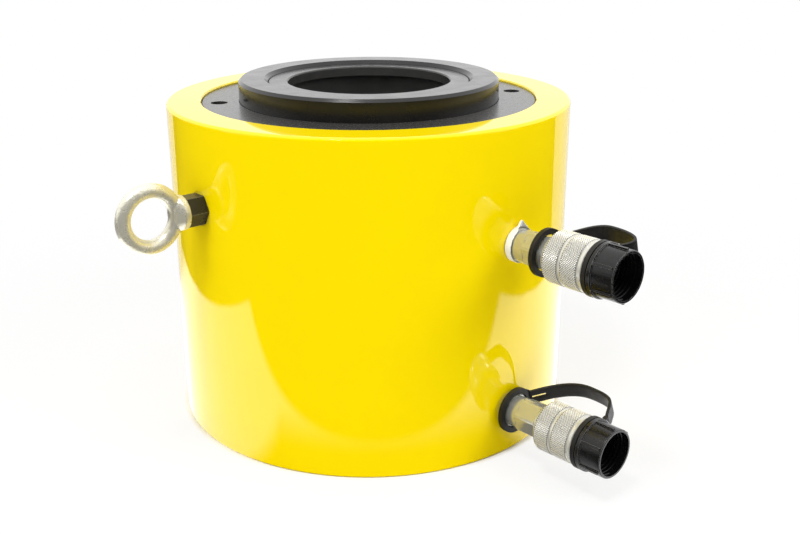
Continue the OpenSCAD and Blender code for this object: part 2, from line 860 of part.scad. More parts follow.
module retract_valve_spring() {
    color(bright_steel)
        on_port(retract_z)
            spring();
}

module retract_nose_seal() {
    color(black_rubber)
        on_port(retract_z)
            nose_seal();
}

module retract_dust_cap() {
    color(black_plastic)
        on_port(retract_z)
            dust_cap();
}

module retract_strap_neck_ring() {
    color(black_rubber)
        on_port(retract_z)
            strap_ring(neck_ring_r, neck_ring_out, neck_ring_out, upper_ring_place, upper_strap_turn);
}

module retract_strap_band() {
    color(black_rubber)
        on_port(retract_z)
            strap_arch(
                upper_ring_place, upper_strap_turn, upper_strap_rise, upper_strap_crest, upper_strap_curl
            );
}

module retract_strap_cap_ring() {
    color(black_rubber)
        on_port(retract_z)
            strap_ring(cap_neck_r + free_gap, flange_r, flange_r + tab_l, cap_ring_z, upper_strap_turn);
}

module advance_port_nipple() {
    color(zinc_steel)
        on_port(advance_z)
            port_nipple();
}

module advance_thread_tape() {
    color(tape_white)
        on_port(advance_z)
            thread_tape();
}

module advance_coupler_body() {
    color(zinc_steel)
        on_port(advance_z)
            coupler_body();
}

module advance_collar() {
    color(zinc_steel)
        on_port(advance_z)
            collar();
}

module advance_snap_ring() {
    color(bright_steel)
        on_port(advance_z)
            snap_ring();
}

module advance_valve_poppet() {
    color(bright_steel)
        on_port(advance_z)
            poppet();
}

module advance_valve_spring() {
    color(bright_steel)
        on_port(advance_z)
            spring();
}

module advance_nose_seal() {
    color(black_rubber)
        on_port(advance_z)
            nose_seal();
}

module advance_dust_cap() {
    color(black_plastic)
        on_port(advance_z)
            dust_cap();
}

module advance_strap_neck_ring() {
    color(black_rubber)
        on_port(advance_z)
            strap_ring(neck_ring_r, neck_ring_out, neck_ring_out, lower_ring_place, lower_strap_turn);
}

module advance_strap_band() {
    color(black_rubber)
        on_port(advance_z)
            strap_arch(
                lower_ring_place, lower_strap_turn, lower_strap_rise, lower_strap_crest, lower_strap_curl
            );
}

module advance_strap_cap_ring() {
    color(black_rubber)
        on_port(advance_z)
            strap_ring(cap_neck_r + free_gap, flange_r, flange_r + tab_l, cap_ring_z, lower_strap_turn);
}

cylinder_body();
center_tube();
tube_seal();
gland_nut();
guide_bush();
rod_seal();
wiper_ring();
gland_seal();
plunger();
piston_seal();
piston_wear_ring();
inner_seal();
inner_wear_ring();
saddle();
eye_bolt();
eye_lock_nut();
retract_port_nipple();
retract_thread_tape();
retract_coupler_body();
retract_collar();
retract_snap_ring();
retract_valve_poppet();
retract_valve_spring();
retract_nose_seal();
retract_dust_cap();
retract_strap_neck_ring();
retract_strap_band();
retract_strap_cap_ring();
advance_port_nipple();
advance_thread_tape();
advance_coupler_body();
advance_collar();
advance_snap_ring();
advance_valve_poppet();
advance_valve_spring();
advance_nose_seal();
advance_dust_cap();
advance_strap_neck_ring();
advance_strap_band();
advance_strap_cap_ring();
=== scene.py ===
"""Looks of a hollow plunger hydraulic cylinder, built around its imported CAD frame.

The barrel stands on its base at the origin with +Z up, and the photograph looks along +Y.
All sizes are metres.
"""

import json
import logging
import math
from contextlib import contextmanager
from dataclasses import dataclass, replace
from enum import Enum
from typing import Callable, ClassVar, Iterator, Sequence

import bmesh
import bpy
from mathutils import Matrix, Vector


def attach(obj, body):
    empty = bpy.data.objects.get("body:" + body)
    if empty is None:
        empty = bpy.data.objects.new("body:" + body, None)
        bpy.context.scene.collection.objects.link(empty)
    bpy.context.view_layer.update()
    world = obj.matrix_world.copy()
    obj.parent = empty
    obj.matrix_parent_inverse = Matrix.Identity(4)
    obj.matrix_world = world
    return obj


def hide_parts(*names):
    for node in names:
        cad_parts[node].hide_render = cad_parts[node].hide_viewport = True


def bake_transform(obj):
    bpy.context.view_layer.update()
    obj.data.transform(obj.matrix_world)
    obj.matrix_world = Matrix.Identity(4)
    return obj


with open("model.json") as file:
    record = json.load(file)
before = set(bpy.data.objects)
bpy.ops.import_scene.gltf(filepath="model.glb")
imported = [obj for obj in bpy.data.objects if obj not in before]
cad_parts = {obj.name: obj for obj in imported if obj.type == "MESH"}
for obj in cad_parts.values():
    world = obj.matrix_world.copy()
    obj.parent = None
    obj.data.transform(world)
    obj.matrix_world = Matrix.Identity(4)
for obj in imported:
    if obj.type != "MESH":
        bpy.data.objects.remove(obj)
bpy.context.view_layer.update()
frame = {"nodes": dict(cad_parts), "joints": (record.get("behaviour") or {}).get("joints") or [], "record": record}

MM = 0.001
LOG = logging.getLogger("hollow_cylinder")

Pair = tuple[float, float]
Color = tuple[float, float, float]
Piece = bpy.types.Object
Material = bpy.types.Material
Tree = bpy.types.NodeTree
Node = bpy.types.Node
Socket = bpy.types.NodeSocket
Inputs = dict[str | int, object]


class Side(Enum):
    """The two oil ports, named for the stroke that each one drives."""

    RETRACT = "retract"
    ADVANCE = "advance"


class Bench:
    """Hand work on meshes, done with Blender's own operators.

    Attributes:
        MERGE: Vertices closer than this are one.
    """

    MERGE: ClassVar[float] = 0.001 * MM

    @staticmethod
    def clear() -> None:
        """Goes back to object mode with nothing selected."""
        if bpy.context.mode != "OBJECT":
            bpy.ops.object.mode_set(mode="OBJECT")
        bpy.ops.object.select_all(action="DESELECT")

    @staticmethod
    def pick(piece: Piece) -> None:
        """Selects one piece alone and makes it active.

        Args:
            piece: The piece.
        """
        Bench.clear()
        piece.select_set(True)
        bpy.context.view_layer.objects.active = piece

    @staticmethod
    def named(name: str) -> Piece:
        """Names the primitive that was just added.

        Args:
            name: Name of the piece and of its mesh.

        Returns:
            The piece.
        """
        piece = bpy.context.active_object
        piece.name = name
        piece.data.name = name
        return piece

    @staticmethod
    @contextmanager
    def editing(piece: Piece) -> Iterator[None]:
        """Holds a piece in edit mode, with vertices as what is selected.

        Args:
            piece: The mesh to edit.
        """
        Bench.pick(piece)
        bpy.ops.object.mode_set(mode="EDIT")
        bpy.context.tool_settings.mesh_select_mode = (True, False, False)
        try:
            yield
        finally:
            bpy.ops.object.mode_set(mode="OBJECT")

    @staticmethod
    def choose(piece: Piece, test: Callable[[Vector], bool], faces: bool = False) -> None:
        """Selects, in edit mode, the vertices or the faces that pass a test.

        Args:
            piece: The mesh in edit mode.
            test: Says whether a vertex at this place, or a face with this middle, is selected.
            faces: Whether faces are selected.
        """
        bpy.context.tool_settings.mesh_select_mode = (not faces, False, faces)
        mesh = bmesh.from_edit_mesh(piece.data)
        for part in mesh.faces if faces else mesh.verts:
            part.select_set(test(part.calc_center_median() if faces else part.co))
        mesh.select_flush_mode()
        bmesh.update_edit_mesh(piece.data)

    @staticmethod
    def extrude(move: Sequence[float]) -> None:
        """Extrudes what is selected and moves it."""
        bpy.ops.mesh.extrude_region_move(TRANSFORM_OT_translate={"value": tuple(move)})

    @staticmethod
    def climb(rows: int, step: float) -> None:
        """Extrudes a bare circle upwards in edit mode, row by row.

        Args:
            rows: Number of rows.
            step: Height of a row.
        """
        bpy.ops.mesh.select_all(action="SELECT")
        for _ in range(rows):
            Bench.extrude((0, 0, step))

    @staticmethod
    def modify(piece: Piece, kind: str, **settings: object) -> None:
        """Puts a modifier on a piece and applies it.

        Args:
            piece: The mesh to change.
            kind: Blender's name for the modifier.
            **settings: Values of the modifier.
        """
        modifier = piece.modifiers.new(kind.title(), kind)
        for name, value in settings.items():
            setattr(modifier, name, value)
        Bench.pick(piece)
        bpy.ops.object.modifier_apply(modifier=modifier.name)

    @staticmethod
    def outward(piece: Piece) -> None:
        """Merges doubles and turns all faces outwards.

        Args:
            piece: The mesh to clean.
        """
        with Bench.editing(piece):
            bpy.ops.mesh.select_all(action="SELECT")
            bpy.ops.mesh.remove_doubles(threshold=Bench.MERGE)
            bpy.ops.mesh.normals_make_consistent(inside=False)

    @staticmethod
    def settle(piece: Piece, place: Matrix) -> None:
        """Puts a piece in its place and keeps the place in its mesh.

        Args:
            piece: The piece, modelled about the origin.
            place: Where it goes.
        """
        piece.matrix_world = place
        Bench.pick(piece)
        bpy.ops.object.transform_apply(location=True, rotation=True, scale=True)

    @staticmethod
    def smooth(piece: Piece, degrees: float) -> None:
        """Shades a piece smooth, with creases at sharper edges."""
        Bench.pick(piece)
        bpy.ops.object.shade_smooth_by_angle(angle=math.radians(degrees))

    @staticmethod
    def join(pieces: Sequence[Piece]) -> None:
        """Joins pieces into the first of them.

        Args:
            pieces: The pieces to join.
        """
        Bench.clear()
        for piece in pieces:
            piece.select_set(True)
        bpy.context.view_layer.objects.active = pieces[0]
        bpy.ops.object.join()

    @staticmethod
    def hoop(name: str, points: int, radius: float, place: Sequence[float], upright: bool = False) -> Piece:
        """Adds a bare circle and keeps its place in its mesh.

        Args:
            name: Name of the piece.
            points: Points round the circle.
            radius: Its radius.
            place: Its middle.
            upright: Whether it stands on its edge, facing Y.

        Returns:
            The circle.
        """
        Bench.clear()
        bpy.ops.mesh.primitive_circle_add(
            vertices=points, radius=radius, fill_type="NOTHING", location=place,
            rotation=(math.pi / 2 if upright else 0.0, 0, 0),
        )
        circle = Bench.named(name)
        Bench.settle(circle, circle.matrix_world.copy())
        return circle

    @staticmethod
    def coil(wire: Piece, pitch: float, turns: int, steps: int) -> None:
        """Sweeps the bare section of a wire into a closed coil about Z.

        Args:
            wire: The section, an upright circle.
            pitch: Rise of one turn.
            turns: Number of turns.
            steps: Steps in one turn.
        """
        sides = len(wire.data.vertices)
        Bench.modify(
            wire, "SCREW", axis="Z", screw_offset=pitch, iterations=turns, steps=steps, render_steps=steps
        )
        with Bench.editing(wire):
            bpy.ops.mesh.select_all(action="SELECT")
            bpy.ops.mesh.fill_holes(sides=sides)
        Bench.outward(wire)
        Bench.smooth(wire, degrees=50.0)


@dataclass
class Nodes:
    """The nodes of one shader, with short ways to add and link them.

    Attributes:
        tree: Node tree of a material, a world or a group.
    """

    tree: Tree

    def feed(self, node: Node, inputs: Inputs) -> None:
        """Gives a node its inputs.

        Args:
            node: The node.
            inputs: A value, or the socket that gives it, by the input's name or number.
        """
        for name, value in inputs.items():
            if isinstance(value, Socket):
                self.tree.links.new(value, node.inputs[name])
            else:
                node.inputs[name].default_value = value

    def add(self, kind: str, inputs: Inputs | None = None, **settings: object) -> Node:
        """Adds a node.

        Args:
            kind: Blender's name for it, without ShaderNode in front.
            inputs: Its inputs, as for feed.
            **settings: Its properties.

        Returns:
            The node.
        """
        node = self.tree.nodes.new(f"ShaderNode{kind}")
        for name, value in settings.items():
            setattr(node, name, value)
        self.feed(node, inputs or {})
        return node

    def math(self, operation: str, *values: Socket | float) -> Socket:
        """Result of a calculation with values."""
        return self.add("Math", dict(enumerate(values)), operation=operation).outputs[0]

    def length(self, vector: Socket) -> Socket:
        """Length of a vector."""
        return self.add("VectorMath", {0: vector}, operation="LENGTH").outputs["Value"]

    def ramp(
        self, value: Socket, start: float, stop: float, low: Socket | float, high: Socket | float,
        shape: str = "SMOOTHSTEP",
    ) -> Socket:
        """Runs from a low to a high result while a value goes from start to stop.

        Args:
            value: What the ramp runs along.
            start: Value up to which the result is low.
            stop: Value from which it is high.
            low: The low result.
            high: The high result.
            shape: Blender's name for the way between them.

        Returns:
            The socket that gives the result.
        """
        ends = {"From Min": start, "From Max": stop, "To Min": low, "To Max": high}
        return self.add("MapRange", {"Value": value, **ends}, interpolation_type=shape).outputs["Result"]

    def mix_color(self, share: Socket, first: Socket | Color, second: Socket | Color) -> Socket:
        """Mixes two colours.

        Args:
            share: Share of the second one.
            first: The first colour, or the socket that gives it.
            second: The second colour, or the socket that gives it.

        Returns:
            The socket that gives the mixed colour.
        """
        ends = [color if isinstance(color, Socket) else (*color, 1.0) for color in (first, second)]
        inputs = {"Factor": share, "A": ends[0], "B": ends[1]}
        return self.add("Mix", inputs, data_type="RGBA").outputs["Result"]

    def mix_shader(self, share: Socket, first: Node, second: Node) -> Node:
        """Shader between two others, by the second one's share."""
        return self.add("MixShader", {0: share, 1: first.outputs[0], 2: second.outputs[0]})


class Effects:
    """Shader node groups that several finishes share.

    Attributes:
        NOISE: Values that noise runs between, leaving out rare peaks.
    """

    NOISE: ClassVar[Pair] = (0.3, 0.7)

    @staticmethod
    def _group(name: str, takes: dict[str, float], gives: Sequence[str]) -> tuple[Nodes, Node, Node]:
        """Makes an empty group that takes coordinates and plain values.

        Args:
            name: Name of the group.
            takes: Names of the values that it takes, each with its first setting.
            gives: Names of the values that it gives.

        Returns:
            The group's nodes, and its input and output nodes.
        """
        tree = bpy.data.node_groups.new(name, "ShaderNodeTree")
        tree.interface.new_socket("Vector", in_out="INPUT", socket_type="NodeSocketVector")
        for socket, value in takes.items():
            made = tree.interface.new_socket(socket, in_out="INPUT", socket_type="NodeSocketFloat")
            made.default_value = value
        for socket in gives:
            tree.interface.new_socket(socket, in_out="OUTPUT", socket_type="NodeSocketFloat")
        return Nodes(tree), tree.nodes.new("NodeGroupInput"), tree.nodes.new("NodeGroupOutput")

    @staticmethod
    def grain() -> Tree:
        """Cloudy variation that runs between two values.

        Returns:
            The group: Vector, Scale, Low and High in; Value and Cloud out.
        """
        found = bpy.data.node_groups.get("cloudy_grain")
        if found:
            return found
        first = {"Scale": 200.0, "Low": 0.0, "High": 1.0}
        nodes, entry, leave = Effects._group("cloudy_grain", first, ("Value", "Cloud"))
        given = entry.outputs
        noise = {"Vector": given["Vector"], "Scale": given["Scale"], "Detail": 5.0, "Roughness": 0.55}
        cloud = nodes.add("TexNoise", noise).outputs["Fac"]
        spread = nodes.ramp(cloud, *Effects.NOISE, given["Low"], given["High"], "LINEAR")
        nodes.feed(leave, {"Value": spread, "Cloud": cloud})
        return nodes.tree

    @staticmethod
    def turning() -> Tree:
        """Fine rings about Z, as a lathe leaves them on faces and walls.

        Returns:
            The group: Vector and Pitch in; Rings out.
        """
        found = bpy.data.node_groups.get("turning_marks")
        if found:
            return found
        nodes, entry, leave = Effects._group("turning_marks", {"Pitch": 2500.0}, ("Rings",))
        given = entry.outputs
        split = nodes.add("SeparateXYZ", {0: given["Vector"]}).outputs
        flat = nodes.add("CombineXYZ", {"X": split["X"], "Y": split["Y"]})
        along = nodes.add("CombineXYZ", {"X": nodes.length(flat.outputs[0]), "Y": split["Z"]})
        stretch = {0: along.outputs[0], "Scale": given["Pitch"]}
        fine = nodes.add("VectorMath", stretch, operation="SCALE").outputs["Vector"]
        noise = nodes.add("TexNoise", {"Vector": fine, "Scale": 1.0, "Detail": 3.0})
        nodes.feed(leave, {"Rings": noise.outputs["Fac"]})
        return nodes.tree


@dataclass(frozen=True)
class Finish:
    """A surface finish with two tones, a cloudy roughness and a fine relief.

    Attributes:
        name: Name of the material.
        tone: Main colour, linear.
        shade: Colour that the tone drifts to.
        metallic: 1 for bare metal, 0 for paint, rubber and plastic.
        rough: Lowest and highest roughness.
        drift: Patches of colour and roughness per metre.
        relief: Scale of the relief per metre, and its depth.
        rings: Lathe marks per metre, or 0 for none.
        coat: Weight of a clear top coat.
        coat_rough: Roughness of the top coat.
        ior: Refractive index under the coat.
        specular: Strength of the reflection under the coat.
        groove: Painted shade in the grooves of a knurl: a dark colour where the piece's crest attribute is low.
        wear_and_highlight: Colour of broken edges, where the piece has that attribute: a little wear and a painted
            highlight.
    """

    name: str
    tone: Color
    shade: Color
    metallic: float = 0.0
    rough: Pair = (0.4, 0.5)
    drift: float = 120.0
    relief: Pair = (900.0, 0.02 * MM)
    rings: float = 0.0
    coat: float = 0.0
    coat_rough: float = 0.04
    ior: float = 1.5
    specular: float = 0.5
    groove: Color | None = None
    wear_and_highlight: Color | None = None

    def make(self, place: Matrix | None = None) -> Material:
        """Builds the material.

        Args:
            place: Where the lathe axis of the piece stands, if it isn't the barrel's own.

        Returns:
            The material.
        """
        material = bpy.data.materials.new(self.name)
        material.use_nodes = True
        nodes = Nodes(material.node_tree)
        where = nodes.add("TexCoord").outputs["Object"]
        if place is not None:
            where = self._turned(nodes, where, place)
        low, high = self.rough
        patches = self._effect(nodes, Effects.grain(), where, Scale=self.drift, Low=low, High=high)
        color = self._marked(nodes, nodes.mix_color(patches["Cloud"], self.tone, self.shade))
        bump = nodes.add("Bump", {"Distance": self.relief[1], "Height": self._height(nodes, where)})
        surface = {
            "Base Color": color,
            "Metallic": self.metallic,
            "Roughness": patches["Value"],
            "IOR": self.ior,
            "Specular IOR Level": self.specular,
            "Coat Weight": self.coat,
            "Coat Roughness": self.coat_rough,
            "Normal": bump.outputs["Normal"],
        }
        nodes.feed(nodes.tree.nodes["Principled BSDF"], surface)
        return material

    def _marked(self, nodes: Nodes, color: Socket) -> Socket:
        """Paints shade into the grooves of a knurl, and a highlight with a little wear onto broken edges.

        Args:
            nodes: The material's nodes.
            color: The plain colour.

        Returns:
            The socket that gives the colour to use.
        """
        # Knurl grooves get a dark colour: painted shade in the recesses between the diamonds.
        if self.groove is not None:
            crest = nodes.add("Attribute", attribute_name=KnurledCollar.CREST).outputs["Fac"]
            flank = nodes.ramp(crest, *KnurledCollar.FLANK, 0.0, 1.0, "LINEAR")
            color = nodes.mix_color(flank, self.groove, color)
        # Broken edges get a lighter colour: a little wear and a painted highlight that stands in for the light
        # they catch.
        if self.wear_and_highlight is not None:
            edge = nodes.add("Attribute", attribute_name=BrokenEdges.WEAR_AND_HIGHLIGHT).outputs["Fac"]
            color = nodes.mix_color(edge, color, self.wear_and_highlight)
        return color

    def _height(self, nodes: Nodes, where: Socket) -> Socket:
        """Height of the relief: lathe rings if the finish has them, or else fine grain.

        Args:
            nodes: The material's nodes.
            where: Coordinates on the piece.

        Returns:
            The socket that gives the height.
        """
        if self.rings:
            return self._effect(nodes, Effects.turning(), where, Pitch=self.rings)["Rings"]
        return self._effect(nodes, Effects.grain(), where, Scale=self.relief[0])["Value"]

    @staticmethod
    def _effect(nodes: Nodes, group: Tree, where: Socket, **values: float) -> bpy.types.NodeOutputs:
        """Outputs of a shared effect, placed in a material with these values."""
        return nodes.add("Group", {"Vector": where, **values}, node_tree=group).outputs

    @staticmethod
    def _turned(nodes: Nodes, where: Socket, place: Matrix) -> Socket:
        """Turns coordinates so that Z runs along a coupler.

        Args:
            nodes: The material's nodes.
            where: Coordinates in the row frame.
            place: Where the piece stands.

        Returns:
            The socket that gives the turned coordinates.
        """
        back = place.inverted()
        turn = {"Location": back.to_translation(), "Rotation": back.to_euler("XYZ")}
        return nodes.add("Mapping", {"Vector": where, **turn}).outputs["Vector"]


YELLOW_PAINT = Finish(
    name="gloss_yellow_paint",
    tone=(0.955, 0.735, 0.0),
    shade=(0.925, 0.69, 0.0),
    rough=(0.3, 0.38),
    drift=25.0,
    relief=(260.0, 0.012 * MM),
    coat=1.0,
    coat_rough=0.025,
    specular=0.0,
)
BLACK_STEEL = Finish(
    name="black_oxide_steel",
    tone=(0.008, 0.008, 0.008),
    shade=(0.016, 0.015, 0.015),
    rough=(0.17, 0.25),
    drift=70.0,
    relief=(0.0, 0.006 * MM),
    rings=2600.0,
    ior=1.45,
)
# Black steel painted lighter than the plunger's: painted light that stands in for the sheen on the saddle's bore
# wall.
SADDLE_STEEL = replace(
    BLACK_STEEL,
    name="saddle_steel_painted_light",
    tone=(0.028, 0.028, 0.027),
    shade=(0.05, 0.049, 0.047),
    ior=1.36,
)
GLAND_STEEL = replace(
    BLACK_STEEL,
    name="phosphated_steel",
    tone=(0.024, 0.023, 0.022),
    shade=(0.06, 0.058, 0.055),
    rough=(0.2, 0.3),
    drift=420.0,
    ior=1.5,
)
BLACK_NUT = Finish(
    name="black_oxide_nut",
    tone=(0.008, 0.0075, 0.007),
    shade=(0.018, 0.017, 0.015),
    rough=(0.24, 0.36),
    drift=260.0,
    relief=(1500.0, 0.02 * MM),
    # Lighter edges on the nut: a painted highlight, with a little wear.
    wear_and_highlight=(0.12, 0.11, 0.085),
)
BRIGHT_STEEL = Finish(
    name="ground_steel",
    tone=(0.6, 0.6, 0.6),
    shade=(0.5, 0.5, 0.5),
    metallic=1.0,
    rough=(0.2, 0.32),
    relief=(0.0, 0.004 * MM),
    rings=3500.0,
)
ZINC_STEEL = Finish(
    name="zinc_plated_steel",
    tone=(0.66, 0.665, 0.61),
    shade=(0.56, 0.56, 0.5),
    metallic=0.7,
    rough=(0.14, 0.22),
    drift=180.0,
    relief=(0.0, 0.003 * MM),
    rings=2200.0,
    specular=0.2,
    # Near-white edges on the hexagon: a painted highlight, with a little wear.
    wear_and_highlight=(0.9, 0.9, 0.85),
)
# Knurl: crests near white and grooves dark, a painted highlight and painted shade that give the bands their
# contrast.
ZINC_KNURL = Finish(
    name="zinc_plated_knurl",
    tone=(0.97, 0.96, 0.92),
    shade=(0.88, 0.87, 0.81),
    metallic=0.45,
    rough=(0.24, 0.34),
    drift=180.0,
    groove=(0.16, 0.155, 0.125),
)
# A lighter, less metallic copy of the zinc plating, so that the plain grooves between the knurl bands read bright:
# painted light.
ZINC_COLLAR = replace(
    ZINC_STEEL,
    name="zinc_plated_collar",
    tone=(0.7, 0.69, 0.64),
    shade=(0.6, 0.59, 0.53),
    metallic=0.45,
    rough=(0.24, 0.34),
    wear_and_highlight=None,
)
ZINC_FORGING = Finish(
    name="zinc_plated_forging",
    tone=(0.88, 0.86, 0.74),
    shade=(0.64, 0.61, 0.48),
    metallic=0.6,
    rough=(0.22, 0.36),
    drift=150.0,
    relief=(420.0, 0.11 * MM),
    specular=0.15,
)
BRONZE = Finish(
    name="guide_bronze",
    tone=(0.5, 0.33, 0.14),
    shade=(0.42, 0.26, 0.1),
    metallic=1.0,
    rough=(0.3, 0.42),
    relief=(0.0, 0.006 * MM),
    rings=2500.0,
)
SEAL_PLASTIC = Finish(
    name="seal_plastic",
    tone=(0.02, 0.09, 0.06),
    shade=(0.03, 0.11, 0.08),
    rough=(0.42, 0.55),
)
RUBBER = Finish(
    name="black_rubber",
    tone=(0.008, 0.008, 0.008),
    shade=(0.016, 0.015, 0.014),
    rough=(0.42, 0.58),
    drift=220.0,
    relief=(1600.0, 0.03 * MM),
    specular=0.3,
)
CAP_PLASTIC = Finish(
    name="black_cap_plastic",
    tone=(0.003, 0.003, 0.003),
    shade=(0.008, 0.007, 0.007),
    rough=(0.2, 0.32),
    drift=160.0,
    relief=(1200.0, 0.02 * MM),
    specular=0.4,
    # Grey edges on the cap's ribs and mouth: a painted highlight, with a little wear.
    wear_and_highlight=(0.16, 0.155, 0.15),
)
THREAD_TAPE = Finish(
    name="white_thread_tape",
    tone=(0.95, 0.95, 0.94),
    shade=(0.86, 0.86, 0.84),
    rough=(0.5, 0.7),
    drift=500.0,
    relief=(1300.0, 0.12 * MM),
)


@dataclass(frozen=True)
class PortAxis:
    """Where a coupler stands: its Z runs out of the barrel and its X runs down.

    Attributes:
        side: Which port this is.
        foot: Point on the barrel's axis level with the port.
        out: Direction out of the barrel.
    """

    side: Side
    foot: Vector
    out: Vector

    @classmethod
    def of(cls, side: Side) -> "PortAxis":
        """Reads a port from its collar's joint."""
        joint = next(j for j in frame["joints"] if j["name"] == f"{side.value}_collar_spin")
        return cls(side, Vector(joint["pos_m"]), Vector(joint["axis"]).normalized())

    @property
    def place(self) -> Matrix:
        """Place of a piece that is drawn along Z.

        Returns:
            The matrix that takes it to this port.
        """
        down = Vector((0.0, 0.0, -1.0))
        turned = Matrix((down, self.out.cross(down), self.out)).transposed()
        return Matrix.Translation(self.foot) @ turned.to_4x4()

    def node(self, name: str) -> str:
        """Full name of one of this port's nodes or bodies."""
        return f"{self.side.value}_{name}"

    def _points(self, name: str) -> list[Vector]:
        """Vertices of one of this port's nodes, with Z along the port's axis."""
        back = self.place.inverted()
        return [back @ vertex.co for vertex in frame["nodes"][self.node(name)].data.vertices]

    def span(self, name: str) -> Pair:
        """Lowest and highest place of a node along the port's axis."""
        heights = [point.z for point in self._points(name)]
        return min(heights), max(heights)

    def radius(self, name: str) -> float:
        """Largest distance of a node from the port's axis."""
        return max(point.xy.length for point in self._points(name))

    def point(self, along: float) -> Vector:
        """Point on the port's axis."""
        return self.foot + self.out * along


@dataclass
class KnurledCollar:
    """Diamond knurling of a coupler's collar, in two bands beside a plain groove.

    Attributes:
        CREST: Name of the attribute that marks the tops of the diamonds.
        FLANK: Its values between which the painted shade of the grooves ends.
        port: The coupler's axis.
        rear_bevel: Plain length at the rear of the collar.
        front_lip: Plain length at the front.
        groove: Half the width of the plain grooves.
        teeth: Diamonds round the collar.
        height: Height of a diamond.
        lift: How far the valleys lie above the plain collar.
    """

    CREST: ClassVar[str] = "crest"
    FLANK: ClassVar[Pair] = (0.04, 0.36)

    port: PortAxis
    rear_bevel: float = 1.7 * MM
    front_lip: float = 2.4 * MM
    groove: float = 1.05 * MM
    teeth: int = 68
    height: float = 0.42 * MM
    lift: float = 0.03 * MM

    def build(self, material: Material) -> list[Piece]:
        """Makes both bands and lets them turn with the collar.

        Args:
            material: The collar's finish.

        Returns:
            The two bands.
        """
        low, high = self.port.span("collar")
        lip = high - self.front_lip
        middle = (low + lip) / 2
        ends = ((low + self.rear_bevel, middle - self.groove), (middle + self.groove, lip - self.groove))
        bands = []
        for label, (start, stop) in zip(("rear", "front"), ends):
            band = self._band(f"{label}_knurl", start, stop)
            band.data.materials.append(material)
            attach(band, self.port.node("collar"))
            bands.append(band)
        return bands

    def _band(self, label: str, start: float, stop: float) -> Piece:
        """Models one band: rows of diamonds raised out of a sleeve.

        Args:
            label: Which band it is.
            start: Its rear end along the axis.
            stop: Its front end along the axis.

        Returns:
            The band in its place.
        """
        radius = self.port.radius("collar")
        columns = 2 * self.teeth
        cell = 2 * math.pi * radius / columns
        rows = max(4, 2 * round((stop - start) / cell / 2))
        step = (stop - start) / rows
        valley = radius + self.lift
        band = Bench.hoop(self.port.node(label), columns, valley, (0, 0, start))

        def is_tooth(place: Vector) -> bool:
            """Says whether a vertex is the top of a diamond.

            Args:
                place: Where the vertex is.

            Returns:
                Whether it is.
            """
            row = round((place.z - start) / step)
            column = round(math.atan2(place.y, place.x) / (2 * math.pi) * columns)
            return 0 < row < rows and (row + column) % 2 == 0

        with Bench.editing(band):
            Bench.climb(rows, step)
            Bench.choose(band, is_tooth)
            grow = (valley + self.height) / valley
            bpy.ops.transform.resize(value=(grow, grow, 1.0), center_override=(0, 0, 0))
            bpy.ops.mesh.select_all(action="SELECT")
            bpy.ops.mesh.quads_convert_to_tris(quad_method="SHORTEST_DIAGONAL")
            bpy.ops.mesh.normals_make_consistent(inside=False)
        # Marks the crests; the knurl's finish paints shade into the valleys from this.
        crest = band.data.attributes.new(self.CREST, "FLOAT", "POINT")
        for vertex, mark in zip(band.data.vertices, crest.data):
            mark.value = float(is_tooth(vertex.co))
        Bench.settle(band, self.port.place)
        return band


